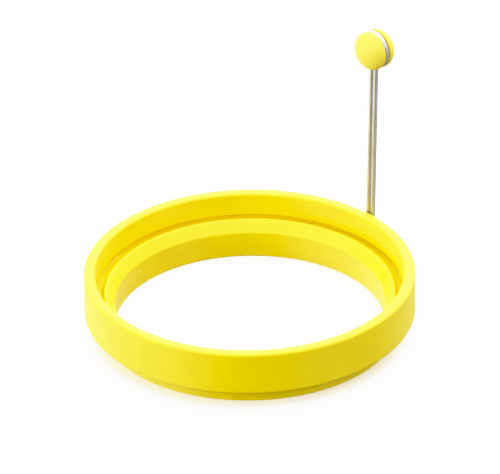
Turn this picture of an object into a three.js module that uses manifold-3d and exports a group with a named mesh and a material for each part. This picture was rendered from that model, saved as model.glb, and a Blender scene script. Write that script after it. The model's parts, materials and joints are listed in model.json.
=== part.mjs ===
// Egg ring: a moulded silicone ring with a folding wire handle and a ball knob.
// Millimetres, +Z up. The ring stands on its foot at Z = 0, and the handle is on the +Y side.
import * as THREE from "three";
import { mergeVertices } from "three/addons/utils/BufferGeometryUtils.js";
import Module from "manifold-3d";

// Ring section: a rim on a plain outer wall, an undercut gutter, a ridge and a sloping ledge inside, and a
// narrower foot below
const ringDiameter = 100;
const ringHeight = 18.8;
const wallThickness = 3.45;
const wallDraft = THREE.MathUtils.degToRad(3);
const recessDepth = 7;
const gutterWidth = 2.5;
const gutterDepth = 2;
const gutterUndercut = 0.75;
const ridgeRise = 0.85;
const ridgeFlank = THREE.MathUtils.degToRad(19);
const ledgeWidth = 3;
const ledgeSlope = THREE.MathUtils.degToRad(56);
const footHeight = 5;
const footClearance = 1.4;

// Rounding of the moulded edges
const rimRounding = 0.8;
const shoulderRounding = 1.1;
const overhangRounding = 0.15;
const gutterRounding = 0.5;
const ridgeRounding = 0.75;
const ledgeRounding = 0.9;
const footRounding = 0.5;
const stepRounding = 0.4;

// Hinge ears on the outside of the wall
const pivotHeight = 10.8;
const earRadius = 2.9;
const earWidth = 5;
const earRootHeight = 8;
const earRootBite = 0.6;
const earRounding = 0.7;

// Wire handle: two legs side by side, a loop round the knob and two feet turned outwards
const wireDiameter = 1.6;
const legGap = 0.2;
const footBend = 1.7;
const throatBend = 1.6;
const handleLength = 63.1;
const handleLean = THREE.MathUtils.degToRad(1.8);
const pinInset = 0.6;

// Knob: a slightly flattened ball with a groove round its middle
const knobDiameter = 12.2;
const knobThickness = 10.8;
const grooveDepth = 1.9;
const grooveChamfer = 0.3;

// Clearances between the pieces
const wallClearance = 0.3;
const earClearance = 0.3;
const pinClearance = 0.15;
const grooveClearance = 0.15;

// Facets
const ringSegments = 90;
const knobSegments = 40;
const domeSteps = 9;
const cornerSteps = 3;
const wireSides = 14;
const boreSides = 20;
const earNoseSteps = 7;
const earRoundingSteps = 3;
const bendStep = THREE.MathUtils.degToRad(12);

// Places worked out from the sizes
const ringRadius = ringDiameter / 2;
const recessRadius = ringRadius - wallThickness;
const overhangRadius = recessRadius - recessDepth * Math.tan(wallDraft);
const ridgeRadius = overhangRadius - gutterWidth;
const openingRadius = ridgeRadius - ledgeWidth;
const wireRadius = wireDiameter / 2;
const pivotReach = ringRadius + wallClearance + wireRadius;
const legOffset = (wireDiameter + legGap) / 2;
const earInside = legOffset + footBend + earClearance;
const earOutside = earInside + earWidth;
const knobRadius = knobDiameter / 2;
const coreRadius = knobRadius - grooveDepth;
const loopRadius = coreRadius + grooveClearance + wireRadius;
const grooveHalf = wireRadius + grooveClearance;
const knobReach = pivotReach + handleLength * Math.sin(handleLean) + (knobThickness / 2) * Math.cos(handleLean);
const ringCentreY = (ringRadius - knobReach) / 2;

const silicone = new THREE.MeshStandardMaterial({ color: 0xf2d811, roughness: 0.5, metalness: 0 });
const knobSilicone = new THREE.MeshStandardMaterial({ color: 0xf6e02a, roughness: 0.5, metalness: 0 });
const stainless = new THREE.MeshStandardMaterial({ color: 0xc9cac4, roughness: 0.2, metalness: 1 });

const wasm = await Module();
wasm.setup();

// A closed geometry as a solid that can be joined and cut.
function solidOf(geometry) {
  const bare = geometry.clone();
  bare.deleteAttribute("normal");
  bare.deleteAttribute("uv");
  const merged = mergeVertices(bare);
  const vertProperties = new Float32Array(merged.attributes.position.array);
  const triVerts = new Uint32Array(merged.index.array);
  return new wasm.Manifold(new wasm.Mesh({ numProp: 3, vertProperties, triVerts }));
}

// A solid as a geometry again.
function geometryOf(solid) {
  const mesh = solid.getMesh();
  const geometry = new THREE.BufferGeometry();
  geometry.setAttribute("position", new THREE.BufferAttribute(mesh.vertProperties, 3));
  geometry.setIndex(new THREE.BufferAttribute(mesh.triVerts, 1));
  geometry.computeVertexNormals();
  return geometry;
}

// A closed outline of arcs and the straight lines that join them. Each corner is rounded by its own radius, as
// far as its sides allow.
function roundedOutline(corners) {
  const outline = new THREE.Path();
  corners.forEach(({ point, rounding }, index) => {
    const toLast = corners.at(index - 1).point.clone().sub(point);
    const toNext = corners[(index + 1) % corners.length].point.clone().sub(point);
    const halfAngle = toLast.angleTo(toNext) / 2;
    const room = Math.min(toLast.length(), toNext.length()) / 2;
    const setback = Math.min(rounding / Math.tan(halfAngle), room);
    const clockwise = toLast.cross(toNext) > 0;
    const inward = toLast.clone().normalize().add(toNext.clone().normalize());
    const fromCentre = inward.setLength(setback / Math.cos(halfAngle)).negate();
    const centre = point.clone().sub(fromCentre);
    const startAngle = toLast.setLength(setback).add(fromCentre).angle();
    const endAngle = toNext.setLength(setback).add(fromCentre).angle();
    outline.absarc(centre.x, centre.y, setback * Math.tan(halfAngle), startAngle, endAngle, clockwise);
  });
  outline.closePath();
  return outline.getPoints(cornerSteps / 2);
}

// The ring's section turned about its axis.
function ringBody() {
  const overhangHeight = ringHeight - recessDepth;
  const gutterFloor = overhangHeight - gutterDepth;
  const gutterOutside = overhangRadius + gutterUndercut;
  const ridgeHeight = overhangHeight + ridgeRise;
  const gutterInside = ridgeRadius + (ridgeHeight - gutterFloor) * Math.tan(ridgeFlank);
  const ledgeFoot = ridgeHeight - ledgeWidth * Math.tan(ledgeSlope);
  const footRadius = recessRadius - footClearance;
  const corner = (radius, height, rounding) => ({ point: new THREE.Vector2(radius, height), rounding });
  const section = roundedOutline([
    corner(openingRadius, 0, footRounding),
    corner(footRadius, 0, footRounding),
    corner(footRadius, footHeight, stepRounding),
    corner(ringRadius, footHeight, shoulderRounding),
    corner(ringRadius, ringHeight, rimRounding),
    corner(recessRadius, ringHeight, rimRounding),
    corner(overhangRadius, overhangHeight, overhangRounding),
    corner(gutterOutside, overhangHeight - gutterUndercut, gutterRounding),
    corner(gutterOutside, gutterFloor, gutterRounding),
    corner(gutterInside, gutterFloor, gutterRounding),
    corner(ridgeRadius, ridgeHeight, ridgeRounding),
    corner(openingRadius, ledgeFoot, ledgeRounding),
  ]);
  return solidOf(new THREE.LatheGeometry(section, ringSegments).rotateX(Math.PI / 2));
}

// One hinge ear: a round nose about the pivot, drawn out to a taller root in the wall.
function hingeEar(side) {
  const wallFall = ringRadius - Math.sqrt(ringRadius ** 2 - earOutside ** 2);
  const rootReach = ringRadius - wallFall - earRounding - earRootBite;
  const root = new THREE.Vector2(rootReach - pivotReach, earRootHeight / 2);
  const tangentAngle = root.angle() - Math.acos(earRadius / root.length());
  const profile = new THREE.Shape();
  profile.moveTo(root.x, -root.y);
  profile.lineTo(earRadius * Math.cos(tangentAngle), -earRadius * Math.sin(tangentAngle));
  profile.absarc(0, 0, earRadius, -tangentAngle, tangentAngle, false);
  profile.lineTo(root.x, root.y);
  const ear = new THREE.ExtrudeGeometry(profile, {
    depth: earWidth - 2 * earRounding,
    bevelSize: earRounding,
    bevelThickness: earRounding,
    bevelOffset: -earRounding,
    bevelSegments: earRoundingSteps,
    curveSegments: earNoseSteps,
  });
  const alongPivot = new THREE.Matrix4().makeBasis(
    new THREE.Vector3(0, 1, 0),
    new THREE.Vector3(0, 0, 1),
    new THREE.Vector3(1, 0, 0),
  );
  const start = (side > 0 ? earInside : -earOutside) + earRounding;
  return solidOf(ear.applyMatrix4(alongPivot).translate(start, pivotReach, pivotHeight));
}

// The hole through both ears that the wire's feet turn in.
function pivotBore() {
  const bore = new THREE.CylinderGeometry(
    wireRadius + pinClearance,
    wireRadius + pinClearance,
    2 * earOutside + earWidth,
    boreSides,
  );
  return solidOf(bore.rotateZ(Math.PI / 2).translate(0, pivotReach, pivotHeight));
}

function siliconeRing() {
  const moulding = ringBody().add(hingeEar(1)).add(hingeEar(-1)).subtract(pivotBore());
  const ring = new THREE.Mesh(geometryOf(moulding), silicone);
  ring.name = "silicone_ring";
  ring.position.y = ringCentreY;
  return ring;
}

// A wire's centre line through its stations, each with the direction halfway between its two sides.
class WireLine extends THREE.Curve {
  constructor(stations) {
    super();
    this.stations = stations;
  }

  station(t) {
    return Math.round(t * (this.stations.length - 1));
  }

  getUtoTmapping(u) {
    return u;
  }

  getPoint(t) {
    return this.stations[this.station(t)].clone();
  }

  getTangent(t) {
    const index = this.station(t);
    const here = this.stations[index];
    const direction = new THREE.Vector3();
    if (index > 0) direction.add(here.clone().sub(this.stations[index - 1]).normalize());
    if (index < this.stations.length - 1) direction.add(this.stations[index + 1].clone().sub(here).normalize());
    return direction.normalize();
  }
}

// Stations along an arc in the handle's plane, from its start angle to its end angle.
function bend(centreX, centreZ, radius, startAngle, endAngle) {
  const steps = Math.ceil(Math.abs(endAngle - startAngle) / bendStep);
  return Array.from({ length: steps + 1 }, (_, step) => {
    const angle = startAngle + ((endAngle - startAngle) * step) / steps;
    return new THREE.Vector3(centreX + radius * Math.cos(angle), 0, centreZ + radius * Math.sin(angle));
  });
}

// The bent wire: foot, leg and throat on the right, the loop, and the same again mirrored.
function wireHandle() {
  const throatX = legOffset + throatBend;
  const throatDrop = Math.sqrt((loopRadius + throatBend) ** 2 - throatX ** 2);
  const throatZ = handleLength - throatDrop;
  const throatAngle = Math.atan2(throatDrop, -throatX);
  const loopAngle = throatAngle - Math.PI;
  const rightSide = [
    new THREE.Vector3(earOutside - pinInset, 0, 0),
    ...bend(legOffset + footBend, footBend, footBend, -Math.PI / 2, -Math.PI),
    ...bend(throatX, throatZ, throatBend, Math.PI, throatAngle),
  ];
  const leftSide = rightSide.map((point) => new THREE.Vector3(-point.x, 0, point.z)).reverse();
  const loop = bend(0, handleLength, loopRadius, loopAngle, Math.PI - loopAngle).slice(1, -1);
  const stations = [...rightSide, ...loop, ...leftSide];
  const section = new THREE.Shape().absarc(0, 0, wireRadius, 0, 2 * Math.PI, false);
  const sweep = new THREE.ExtrudeGeometry(section, {
    extrudePath: new WireLine(stations),
    steps: stations.length - 1,
    curveSegments: wireSides / 2,
  });
  const handle = new THREE.Mesh(sweep, stainless);
  handle.name = "wire_handle";
  return handle;
}

// The knob: a domed half on each side of the groove, turned about the handle's own Y axis.
function ballKnob() {
  const domeHeight = knobThickness / 2 - grooveHalf;
  const half = [];
  for (let step = 0; step <= domeSteps; step += 1) {
    const angle = ((Math.PI / 2) * step) / domeSteps;
    half.push(new THREE.Vector2(knobRadius * Math.sin(angle), -grooveHalf - domeHeight * Math.cos(angle)));
  }
  half.at(-1).y -= grooveChamfer;
  half.push(new THREE.Vector2(knobRadius - grooveChamfer, -grooveHalf));
  half.push(new THREE.Vector2(coreRadius, -grooveHalf));
  const otherHalf = half.map((point) => new THREE.Vector2(point.x, -point.y)).reverse();
  const knob = new THREE.Mesh(new THREE.LatheGeometry([...half, ...otherHalf], knobSegments), knobSilicone);
  knob.name = "knob";
  knob.position.z = handleLength;
  return knob;
}

// The handle turns about the X axis through its feet, and at rest leans a little away from the rim.
const handle = new THREE.Group();
handle.position.set(0, ringCentreY + pivotReach, pivotHeight);
handle.rotation.x = -handleLean;
handle.add(wireHandle(), ballKnob());

const eggRing = new THREE.Group();
eggRing.add(siliconeRing(), handle);

export default eggRing;
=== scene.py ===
# Egg ring: a yellow silicone moulding with a folding stainless wire handle and a grooved ball knob.
# Metres, +Z up. The ring stands on its foot at Z = 0, and the handle is on the +Y side.
import json
import math

import bmesh
import bpy
import numpy as np
from mathutils import Matrix, Vector


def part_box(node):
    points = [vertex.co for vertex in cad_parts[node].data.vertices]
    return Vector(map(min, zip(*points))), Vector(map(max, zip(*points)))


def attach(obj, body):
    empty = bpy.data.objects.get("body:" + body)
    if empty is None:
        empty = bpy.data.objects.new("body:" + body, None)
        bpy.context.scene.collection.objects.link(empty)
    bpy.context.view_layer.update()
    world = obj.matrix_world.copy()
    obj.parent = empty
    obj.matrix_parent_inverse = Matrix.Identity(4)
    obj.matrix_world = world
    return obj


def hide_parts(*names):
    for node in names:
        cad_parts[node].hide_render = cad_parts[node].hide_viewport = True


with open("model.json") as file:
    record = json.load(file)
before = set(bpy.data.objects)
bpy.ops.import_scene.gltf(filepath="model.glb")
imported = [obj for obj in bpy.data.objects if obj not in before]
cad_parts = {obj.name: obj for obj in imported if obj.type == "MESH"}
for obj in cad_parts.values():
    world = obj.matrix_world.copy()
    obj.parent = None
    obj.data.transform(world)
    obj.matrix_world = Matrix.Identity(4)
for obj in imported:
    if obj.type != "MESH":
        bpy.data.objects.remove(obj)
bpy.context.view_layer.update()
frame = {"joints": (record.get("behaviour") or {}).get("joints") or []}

# Silicone ring
# One moulding of yellow food silicone: a flat rim on a plain wall, an undercut gutter, a ridge and a sloping
# ledge inside, and a narrower foot below, turned about one axis. Two hinge ears grow out of the wall behind
# the rim, and each has a hole for one foot of the wire.
MM = 0.001
ring_low, ring_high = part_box("silicone_ring")
ring_radius = (ring_high.x - ring_low.x) / 2
ring_height = ring_high.z
ring_centre_y = ring_low.y + ring_radius
wall_thickness = 3.45 * MM
wall_draft = math.radians(3)
recess_depth = 7 * MM
gutter_width = 2.5 * MM
gutter_depth = 2 * MM
gutter_undercut = 0.75 * MM
ridge_rise = 0.85 * MM
ridge_flank = math.radians(19)
ledge_width = 3 * MM
ledge_slope = math.radians(56)
foot_height = 5 * MM
foot_clearance = 1.4 * MM
rim_rounding = 0.8 * MM
shoulder_rounding = 1.1 * MM
overhang_rounding = 0.15 * MM
gutter_rounding = 0.5 * MM
ridge_rounding = 0.75 * MM
ledge_rounding = 0.9 * MM
foot_rounding = 0.5 * MM
step_rounding = 0.4 * MM
recess_radius = ring_radius - wall_thickness
overhang_radius = recess_radius - recess_depth * math.tan(wall_draft)
overhang_height = ring_height - recess_depth
gutter_outside = overhang_radius + gutter_undercut
gutter_floor = overhang_height - gutter_depth
ridge_radius = overhang_radius - gutter_width
ridge_height = overhang_height + ridge_rise
gutter_inside = ridge_radius + (ridge_height - gutter_floor) * math.tan(ridge_flank)
opening_radius = ridge_radius - ledge_width
ledge_foot = ridge_height - ledge_width * math.tan(ledge_slope)
foot_radius = recess_radius - foot_clearance
ring_turn_steps = 288
ring_corner_steps = 9
ring_side_steps = 6


def unit(vectors):
    """Each vector divided by its own length."""
    return vectors / np.linalg.norm(vectors, axis=-1, keepdims=True)


def rounded_outline(corners, roundings, corner_steps, side_steps):
    """A closed outline with rounded corners, or a whole row of them at once. Each corner becomes an arc
    that touches its two sides, and each side a straight run to the next arc, with its points closer at
    the ends."""
    corner = np.asarray(corners, float)
    radius = np.asarray(roundings, float)[..., None]
    back = unit(np.roll(corner, 1, axis=-2) - corner)
    ahead = unit(np.roll(corner, -1, axis=-2) - corner)
    half = np.arccos((back * ahead).sum(-1, keepdims=True)) / 2
    centre = corner + unit(back + ahead) * radius / np.sin(half)
    first = (corner + back * radius / np.tan(half) - centre)[..., None, :]
    last = (corner + ahead * radius / np.tan(half) - centre)[..., None, :]
    sweep = (math.pi - 2 * half)[..., None, :]
    share = np.linspace(0, 1, corner_steps)[:, None]
    arc = (np.sin((1 - share) * sweep) * first + np.sin(share * sweep) * last) / np.sin(sweep)
    arc = centre[..., None, :] + arc
    leave = arc[..., -1:, :]
    arrive = np.roll(arc[..., :1, :], -1, axis=-3)
    run = (1 - np.cos(np.linspace(0, math.pi, side_steps + 2)[1:-1, None])) / 2
    outline = np.concatenate([arc, leave + (arrive - leave) * run], axis=-2)
    return outline.reshape(*corner.shape[:-2], -1, 2)


def skin(name, points, wrap_rows=True, wrap_columns=True, row_places=None):
    """A smooth mesh over a grid of points (rows, columns, 3): one quad between each four neighbours, and a
    UV map with the place along the rows and the share of the way round the columns. Points that fall
    together, as at a pole, are merged, and the faces are turned outwards."""
    rows, columns = points.shape[:2]
    if row_places is None:
        row_places = np.arange(rows + 1) / rows
    row, column = np.meshgrid(np.arange(rows - (not wrap_rows)), np.arange(columns - (not wrap_columns)),
                              indexing="ij")
    face_rows = np.stack([row, row + 1, row + 1, row], -1)
    face_columns = np.stack([column, column, column + 1, column + 1], -1)
    faces = (face_rows % rows) * columns + face_columns % columns
    mesh = bpy.data.meshes.new(name)
    mesh.from_pydata(points.reshape(-1, 3).tolist(), [], faces.reshape(-1, 4).tolist())
    places = np.stack([row_places[face_rows], face_columns / columns], -1)
    mesh.uv_layers.new(name="along").data.foreach_set("uv", places.ravel().astype(np.float32))
    shape = bmesh.new()
    shape.from_mesh(mesh)
    bmesh.ops.remove_doubles(shape, verts=shape.verts, dist=1e-7)
    bmesh.ops.recalc_face_normals(shape, faces=shape.faces)
    shape.to_mesh(mesh)
    shape.free()
    mesh.polygons.foreach_set("use_smooth", np.ones(len(mesh.polygons), bool))
    piece = bpy.data.objects.new(name, mesh)
    bpy.context.scene.collection.objects.link(piece)
    return piece


def ring_points():
    """The ring's section, a closed outline of radius r and height h, turned about the ring's axis:
    x = r sin a, y = -r cos a from the axis, z = h."""
    corners = np.array([
        (opening_radius, 0, foot_rounding),
        (foot_radius, 0, foot_rounding),
        (foot_radius, foot_height, step_rounding),
        (ring_radius, foot_height, shoulder_rounding),
        (ring_radius, ring_height, rim_rounding),
        (recess_radius, ring_height, rim_rounding),
        (overhang_radius, overhang_height, overhang_rounding),
        (gutter_outside, overhang_height - gutter_undercut, gutter_rounding),
        (gutter_outside, gutter_floor, gutter_rounding),
        (gutter_inside, gutter_floor, gutter_rounding),
        (ridge_radius, ridge_height, ridge_rounding),
        (opening_radius, ledge_foot, ledge_rounding),
    ])
    section = rounded_outline(corners[:, :2], corners[:, 2], ring_corner_steps, ring_side_steps)
    angle = np.linspace(0, 2 * math.pi, ring_turn_steps, endpoint=False)[:, None]
    radius, height = section.T
    return np.stack([radius * np.sin(angle), ring_centre_y - radius * np.cos(angle), height + 0 * angle], -1)


hinge = frame["joints"][0]
pivot = np.array(hinge["pos_m"], float)
wire_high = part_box("wire_handle")[1]
wire_radius = 0.8 * MM
pin_inset = 0.6 * MM
ear_width = 5 * MM
ear_outside = wire_high.x + pin_inset
ear_radius = 2.9 * MM
ear_hole_radius = wire_radius + 0.15 * MM
ear_root_height = 8 * MM
ear_root_depth = 1.9 * MM
ear_root_fillet = 0.6 * MM
ear_rounding = 0.7 * MM
ear_hole_rounding = 0.25 * MM
ear_turn_steps = 144


def ear_points(middle):
    """An ear as a ring about its hole: at each angle round the pivot, a rounded box as wide as the ear runs
    from the hole out to the ear's outline. The outline is a round nose whose straight flanks touch it and run
    to a taller root in the wall. Close to the wall the ear swells by a fillet's quarter circle."""
    root_y = ring_centre_y + ring_radius - ear_root_depth - pivot[1]
    root_z = ear_root_height / 2
    root_angle = math.atan2(root_z, root_y)
    flank_angle = root_angle - math.acos(ear_radius / math.hypot(root_y, root_z))
    angle = np.linspace(-math.pi, math.pi, ear_turn_steps, endpoint=False)
    bearing = np.abs(angle)
    flank = ear_radius / np.cos(np.clip(bearing - flank_angle, 0, root_angle - flank_angle))
    back = root_y / np.cos(np.maximum(bearing, root_angle))
    reach = np.where(bearing < root_angle, flank, back)
    inner = np.full_like(reach, ear_hole_radius)
    side = np.full_like(reach, ear_width / 2)
    corners = np.stack([np.stack([inner, -side], -1), np.stack([reach, -side], -1),
                        np.stack([reach, side], -1), np.stack([inner, side], -1)], -2)
    roundings = (ear_hole_rounding, ear_rounding, ear_rounding, ear_hole_rounding)
    box = rounded_outline(corners, roundings, 6, 10)
    x = middle + box[..., 1]
    y = pivot[1] + box[..., 0] * np.cos(angle)[:, None]
    z = box[..., 0] * np.sin(angle)[:, None]
    from_wall = np.clip(np.hypot(x, y - ring_centre_y) - ring_radius, 0, ear_root_fillet)
    swell = ear_root_fillet - np.sqrt(ear_root_fillet ** 2 - (ear_root_fillet - from_wall) ** 2)
    x = middle + (x - middle) * (1 + swell / (ear_width / 2))
    return np.stack([x, y, pivot[2] + z * (1 + swell / ear_radius)], -1)


def grow_together(piece, others):
    """Makes one closed mesh of a piece and the pieces that grow out of it."""
    for other in others:
        union = piece.modifiers.new(other.name, "BOOLEAN")
        union.operation = "UNION"
        union.solver = "EXACT"
        union.object = other
    graph = bpy.context.evaluated_depsgraph_get()
    whole = bpy.data.meshes.new_from_object(piece.evaluated_get(graph))
    piece.modifiers.clear()
    piece.data = whole
    for other in others:
        bpy.data.objects.remove(other)


def add(tree, kind, **properties):
    """Adds a shader node and sets its own properties."""
    made = tree.nodes.new(kind)
    for name, value in properties.items():
        setattr(made, name, value)
    return made


def clouds(tree, place, scale, detail):
    """Soft noise with so many waves to each unit of the place it reads, as a number about 0.5."""
    made = add(tree, "ShaderNodeTexNoise")
    made.inputs["Scale"].default_value = scale
    made.inputs["Detail"].default_value = detail
    tree.links.new(place, made.inputs["Vector"])
    return made.outputs["Fac"]


def between(tree, value, low, high):
    """Spreads a noise value over the range from low to high."""
    made = add(tree, "ShaderNodeMapRange")
    made.inputs["From Min"].default_value = 0.3
    made.inputs["From Max"].default_value = 0.7
    made.inputs["To Min"].default_value = low
    made.inputs["To Max"].default_value = high
    tree.links.new(value, made.inputs["Value"])
    return made.outputs["Result"]


def bump(tree, height, strength, depth, under=None):
    """Raises a surface by a noise value, on top of a finer relief if there is one."""
    made = add(tree, "ShaderNodeBump")
    made.inputs["Strength"].default_value = strength
    made.inputs["Distance"].default_value = depth
    tree.links.new(height, made.inputs["Height"])
    if under:
        tree.links.new(under, made.inputs["Normal"])
    return made.outputs["Normal"]


def two_tone(tree, value, deep, pale):
    """A colour that drifts from deep to pale with a noise value."""
    made = add(tree, "ShaderNodeMix", data_type="RGBA")
    made.inputs["A"].default_value = (*deep, 1)
    made.inputs["B"].default_value = (*pale, 1)
    tree.links.new(between(tree, value, 0, 1), made.inputs["Factor"])
    return made.outputs["Result"]


def satin_silicone(name, deep, pale):
    """Moulded silicone: two close yellows in soft clouds, the fine matt grain of the mould, faint waves, and
    a little light carried under the skin."""
    material = bpy.data.materials.new(name)
    material.use_nodes = True
    tree = material.node_tree
    shader = tree.nodes["Principled BSDF"]
    place = add(tree, "ShaderNodeTexCoord").outputs["Object"]
    grain = clouds(tree, place, 5200, 2)
    tree.links.new(two_tone(tree, clouds(tree, place, 110, 3), deep, pale), shader.inputs["Base Color"])
    tree.links.new(between(tree, grain, 0.4, 0.54), shader.inputs["Roughness"])
    relief = bump(tree, grain, 0.35, 0.02 * MM)
    relief = bump(tree, clouds(tree, place, 170, 1), 0.5, 0.06 * MM, relief)
    tree.links.new(relief, shader.inputs["Normal"])
    shader.inputs["IOR"].default_value = 1.41
    shader.inputs["Specular IOR Level"].default_value = 0.75
    shader.inputs["Subsurface Weight"].default_value = 0.25
    shader.inputs["Subsurface Radius"].default_value = (1.0, 0.75, 0.1)
    shader.inputs["Subsurface Scale"].default_value = 1.5 * MM
    return material


ring = skin("ring_moulding", ring_points())
ear_middle = ear_outside - ear_width / 2
grow_together(ring, [skin(f"ear_{name}", ear_points(middle))
                     for name, middle in (("left", -ear_middle), ("right", ear_middle))])
ring.data.materials.clear()
ring.data.materials.append(satin_silicone("ring_silicone", (0.79, 0.60, 0.001), (0.82, 0.64, 0.002)))
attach(ring, "ring")
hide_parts("silicone_ring")

# Wire handle
# One length of drawn stainless wire, bent on a former into a hairpin: a loop that grips the knob, a
# throat, two legs side by side, and two feet turned outwards into the ears' holes, where they hinge.
knob_low, knob_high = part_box("knob")
handle_line = np.array((knob_low + knob_high) / 2) - pivot
handle_length = float(np.linalg.norm(handle_line))
handle_lean = math.atan2(handle_line[1], handle_line[2])
leg_gap = 0.2 * MM
leg_offset = wire_radius + leg_gap / 2
foot_bend = 1.7 * MM
throat_bend = 1.6 * MM
loop_radius = 5.15 * MM
tip_rounding = 0.35 * MM
tip_dome = 0.05 * MM
tip_steps = 6
bend_step = math.radians(5)
straight_step = 2 * MM
wire_turn_steps = 32


def arc_line(centre, radius, start, end):
    """Points (x, z) along an arc: centre + radius (cos a, sin a), from the start angle to the end angle."""
    angle = np.linspace(start, end, math.ceil(abs(end - start) / bend_step) + 1)[:, None]
    return np.asarray(centre) + radius * np.concatenate([np.cos(angle), np.sin(angle)], -1)


def straight_line(start, end):
    """Points in even steps between two points, without the two themselves."""
    steps = max(2, round(math.dist(start, end) / straight_step))
    return start + (end - start) * np.linspace(0, 1, steps + 1)[1:-1, None]


def wire_line():
    """The wire's centre line (x, z) in the handle's plane, and its radius at each point: from the right tip,
    which is rounded like a quarter circle, along the foot, the leg and the throat, round the loop, and the
    right side mirrored."""
    throat_x = leg_offset + throat_bend
    throat_drop = math.sqrt((loop_radius + throat_bend) ** 2 - throat_x ** 2)
    throat_angle = math.atan2(throat_drop, -throat_x)
    loop_angle = throat_angle - math.pi
    turn = np.linspace(0, math.pi / 2, tip_steps)
    tip_x = wire_high.x - np.append(0, tip_dome + tip_rounding * (1 - np.cos(turn)))
    tip_radius = np.append(0, wire_radius - tip_rounding * (1 - np.sin(turn)))
    tip = np.stack([tip_x, 0 * tip_x], -1)
    foot = arc_line((leg_offset + foot_bend, foot_bend), foot_bend, -math.pi / 2, -math.pi)
    throat = arc_line((throat_x, handle_length - throat_drop), throat_bend, math.pi, throat_angle)
    right = np.concatenate([tip, straight_line(tip[-1], foot[0]), foot,
                            straight_line(foot[-1], throat[0]), throat])
    loop = arc_line((0, handle_length), loop_radius, loop_angle, math.pi - loop_angle)[1:-1]
    line = np.concatenate([right, loop, right[::-1] * (-1, 1)])
    radius = np.full(len(line), wire_radius)
    radius[:len(tip_radius)] = tip_radius
    radius[-len(tip_radius):] = tip_radius[::-1]
    return line, radius


def leaning(x, y, z):
    """Points in the handle's own frame, which stands on the pivot, turned by the handle's lean about X."""
    sine, cosine = math.sin(handle_lean), math.cos(handle_lean)
    return np.stack([x, y * cosine + z * sine, z * cosine - y * sine], -1) + pivot


def wire_points(line, radius):
    """A circle carried along the wire's line: at each point, radius times (cos b across the line + sin b
    along the handle's Y), where across is the line's direction turned by a right angle in its plane."""
    along = unit(np.gradient(line, axis=0))
    around = np.linspace(0, 2 * math.pi, wire_turn_steps, endpoint=False)
    out = radius[:, None] * np.cos(around)
    x = line[:, :1] - along[:, 1:] * out
    z = line[:, 1:] + along[:, :1] * out
    return leaning(x, radius[:, None] * np.sin(around), z)


def drawn_wire(name):
    """Drawn stainless wire with a satin gloss: hairlines along its length in the gloss and the relief, a
    little drift from darker to lighter grey, and duller patches where it is handled."""
    material = bpy.data.materials.new(name)
    material.use_nodes = True
    tree = material.node_tree
    shader = tree.nodes["Principled BSDF"]
    drawn = add(tree, "ShaderNodeMapping")
    drawn.inputs["Scale"].default_value = (60, 8, 1)
    tree.links.new(add(tree, "ShaderNodeUVMap", uv_map="along").outputs["UV"], drawn.inputs["Vector"])
    hairlines = clouds(tree, drawn.outputs["Vector"], 3, 3)
    place = add(tree, "ShaderNodeTexCoord").outputs["Object"]
    patches = clouds(tree, place, 160, 2)
    grey = two_tone(tree, patches, (0.54, 0.545, 0.545), (0.61, 0.615, 0.615))
    tree.links.new(grey, shader.inputs["Base Color"])
    mixed = add(tree, "ShaderNodeMath", operation="ADD")
    tree.links.new(between(tree, hairlines, 0.12, 0.18), mixed.inputs[0])
    tree.links.new(between(tree, patches, 0.26, 0.34), mixed.inputs[1])
    tree.links.new(mixed.outputs["Value"], shader.inputs["Roughness"])
    tree.links.new(bump(tree, hairlines, 0.12, 0.01 * MM), shader.inputs["Normal"])
    shader.inputs["Metallic"].default_value = 1
    return material


centre_line, centre_line_radius = wire_line()
steps_along = np.linalg.norm(np.diff(centre_line, axis=0), axis=1)
wire = skin("wire_hairpin", wire_points(centre_line, centre_line_radius), wrap_rows=False,
            row_places=np.append(0, np.cumsum(steps_along)))
wire.data.materials.append(drawn_wire("stainless_wire"))
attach(wire, "handle")
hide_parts("wire_handle")

# Knob
# A small ball of the same yellow silicone, a little flattened, with a groove round its middle. The wire's
# loop is sprung open, snaps into the groove and lies flush with the ball.
knob_radius = 6.1 * MM
knob_thickness = 10.8 * MM
groove_half = wire_radius + 0.15 * MM
groove_floor = loop_radius - wire_radius - 0.15 * MM
groove_edge = 0.4 * MM
groove_corner = 0.3 * MM
knob_turn_steps = 128
dome_steps = 36


def knob_points():
    """The knob's half profile (radius, distance along the axis) and its mirror image, turned about the
    handle's Y axis: an elliptical dome from the pole, a quarter circle over the groove's edge, and a quarter
    circle into the groove's floor."""
    dome = np.linspace(0, math.pi / 2, dome_steps)
    quarter = np.linspace(0, math.pi / 2, 8)
    dome_rise = knob_thickness / 2 - groove_half - groove_edge
    radius = np.concatenate([
        knob_radius * np.sin(dome),
        knob_radius - groove_edge * (1 - np.cos(quarter[1:])),
        groove_floor + groove_corner * (1 - np.sin(quarter)),
    ])
    height = np.concatenate([
        -groove_half - groove_edge - dome_rise * np.cos(dome),
        -groove_half - groove_edge * (1 - np.sin(quarter[1:])),
        -groove_half + groove_corner * (1 - np.cos(quarter)),
    ])
    radius = np.append(radius, radius[::-1])
    height = np.append(height, -height[::-1])
    angle = np.linspace(0, 2 * math.pi, knob_turn_steps, endpoint=False)[:, None]
    return leaning(radius * np.cos(angle), height + 0 * angle, handle_length + radius * np.sin(angle))


knob = skin("ball_knob", knob_points(), wrap_columns=False)
knob.data.materials.append(satin_silicone("knob_silicone", (0.82, 0.67, 0.06), (0.85, 0.71, 0.085)))
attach(knob, "handle")
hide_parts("knob")

# Camera
# A long lens from the front right of the hinge, about thirty degrees up, with a slight roll.
view_azimuth = math.radians(46.65)
view_elevation = 0.519986
view_distance = 1814.0 * MM
view_aside = 0.32975 * MM
view_raised = 26.13665 * MM
view_roll = -0.0142075
lens_pixels = 6000
photo_width = 500

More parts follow.
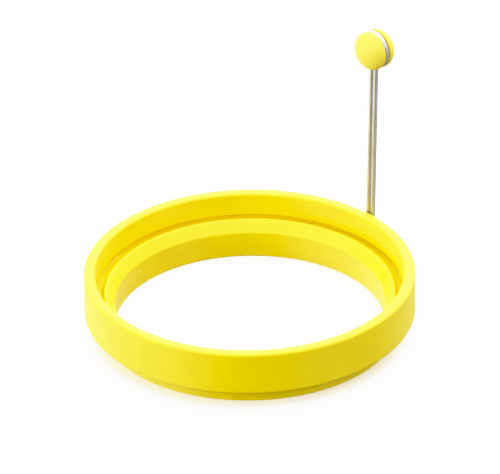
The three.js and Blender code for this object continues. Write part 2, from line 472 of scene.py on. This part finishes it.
view_ahead = Vector((-math.sin(view_azimuth) * math.cos(view_elevation),
                     math.cos(view_azimuth) * math.cos(view_elevation), -math.sin(view_elevation)))
level_right = Vector((math.cos(view_azimuth), math.sin(view_azimuth), 0))
level_up = level_right.cross(view_ahead)
view_up = level_up * math.cos(view_roll) - level_right * math.sin(view_roll)
view_right = level_right * math.cos(view_roll) + level_up * math.sin(view_roll)
lens = bpy.data.cameras.new("camera")
lens.sensor_width = 36
lens.lens = lens_pixels * lens.sensor_width / photo_width
lens.clip_end = 20
camera = bpy.data.objects.new("camera", lens)
turn = Matrix((view_right, view_up, -view_ahead)).transposed().to_4x4()
stand = Vector((0, ring_centre_y, 0)) - view_ahead * view_distance
stand += level_right * view_aside + level_up * view_raised
camera.matrix_world = Matrix.Translation(stand) @ turn
bpy.context.scene.collection.objects.link(camera)
bpy.context.scene.camera = camera

# Floor and light
# A plain pale table, lit from under like a light box, in a bright tent: soft light all round, stronger from
# behind and above, and a long low lamp on the left of the view that reaches over the rim to the far wall.
floor_reach = 4
floor_mesh = bpy.data.meshes.new("floor")
floor_mesh.from_pydata([(-floor_reach, -floor_reach, 0), (floor_reach, -floor_reach, 0),
                        (floor_reach, floor_reach, 0), (-floor_reach, floor_reach, 0)], [], [(0, 1, 2, 3)])
floor = bpy.data.objects.new("floor", floor_mesh)
bpy.context.scene.collection.objects.link(floor)
table_top = bpy.data.materials.new("table_top")
table_top.use_nodes = True
table_tree = table_top.node_tree
table_shader = table_tree.nodes["Principled BSDF"]
table_place = add(table_tree, "ShaderNodeTexCoord").outputs["Object"]
table_white = two_tone(table_tree, clouds(table_tree, table_place, 20, 3), (0.94, 0.94, 0.935),
                       (0.96, 0.96, 0.96))
table_tree.links.new(table_white, table_shader.inputs["Base Color"])
table_shader.inputs["Roughness"].default_value = 0.7
table_shader.inputs["Emission Color"].default_value = (1, 1, 1, 1)
table_shader.inputs["Emission Strength"].default_value = 0.22
table_shader.inputs["Specular IOR Level"].default_value = 0.2
floor_mesh.materials.append(table_top)
floor.visible_glossy = False
floor.visible_diffuse = False

level_back = Vector((view_ahead.x, view_ahead.y, 0)).normalized()
overhead = Vector((0, 0, 1))
tent = bpy.data.worlds.new("tent")
tent.use_nodes = True
bpy.context.scene.world = tent
tent_tree = tent.node_tree
tent_direction = add(tent_tree, "ShaderNodeTexCoord").outputs["Generated"]


def panel(towards, wide, narrow, glow, rest=0):
    """A glowing panel of the tent: from the rest's glow it fades in to its own as the direction turns from
    wide to narrow degrees off its middle."""
    facing = add(tent_tree, "ShaderNodeVectorMath", operation="DOT_PRODUCT")
    facing.inputs[1].default_value = towards.normalized()
    tent_tree.links.new(tent_direction, facing.inputs[0])
    fade = add(tent_tree, "ShaderNodeMapRange", interpolation_type="SMOOTHSTEP")
    fade.inputs["From Min"].default_value = math.cos(math.radians(wide))
    fade.inputs["From Max"].default_value = math.cos(math.radians(narrow))
    fade.inputs["To Min"].default_value = rest
    fade.inputs["To Max"].default_value = rest + glow
    tent_tree.links.new(facing.outputs["Value"], fade.inputs["Value"])
    return fade.outputs["Result"]


tent_glow = panel(overhead, 105, 70, 0.4, rest=0.06)
for other_panel in (panel(level_back + 0.8 * overhead, 70, 20, 2.5),
                    panel(overhead - 0.65 * level_back, 58, 20, 1.32),
                    panel(-level_right - 0.25 * level_back - 0.4 * overhead, 50, 20, 1.4),
                    panel(level_back - 0.75 * level_right - 0.6 * overhead, 45, 15, 1.6),
                    panel(level_back + 0.7 * level_right - 0.6 * overhead, 45, 15, 0.85),
                    panel(level_right + 0.5 * overhead, 65, 25, 0.75),
                    panel(level_right - 0.8 * level_back - 0.7 * overhead, 36, 12, 0.7)):
    both = add(tent_tree, "ShaderNodeMath", operation="ADD")
    tent_tree.links.new(tent_glow, both.inputs[0])
    tent_tree.links.new(other_panel, both.inputs[1])
    tent_glow = both.outputs["Value"]
tent_tree.links.new(tent_glow, tent_tree.nodes["Background"].inputs["Strength"])
tent_tree.nodes["Background"].inputs["Color"].default_value = (1, 1, 1, 1)


def strip_lamp(name, place, aim, width, height, power):
    """A flat soft lamp, wider than it is high, at a place and turned to face the aim."""
    lamp = bpy.data.lights.new(name, "AREA")
    lamp.shape = "RECTANGLE"
    lamp.size = width
    lamp.size_y = height
    lamp.energy = power
    holder = bpy.data.objects.new(name, lamp)
    facing = (aim - place).to_track_quat("-Z", "Y").to_matrix().to_4x4()
    holder.matrix_world = Matrix.Translation(place) @ facing
    bpy.context.scene.collection.objects.link(holder)


lamp_aim = Vector((0, ring_centre_y, ring_height))
lamp_place = lamp_aim - level_right * 0.86 - level_back * 0.38 + overhead * 0.24
strip_lamp("left_lamp", lamp_place, lamp_aim, width=0.9, height=0.14, power=4)

# The picture's curve: a soft shoulder for the brightest light, and a little less blue in the darks.
film_reach = 1.8
film = bpy.context.scene.view_settings
film.view_transform = "Standard"
film.use_curve_mapping = True
film.curve_mapping.black_level = (0, 0, 0.022)
film.curve_mapping.white_level = (film_reach, film_reach, film_reach)
shoulder = film.curve_mapping.curves[3]
shoulder.points[-1].location = (1, 0.985)
for light, shown in ((0.4, 0.4), (0.75, 0.75), (1.05, 0.925), (1.3, 0.96)):
    shoulder.points.new(light / film_reach, shown)
film.curve_mapping.update()
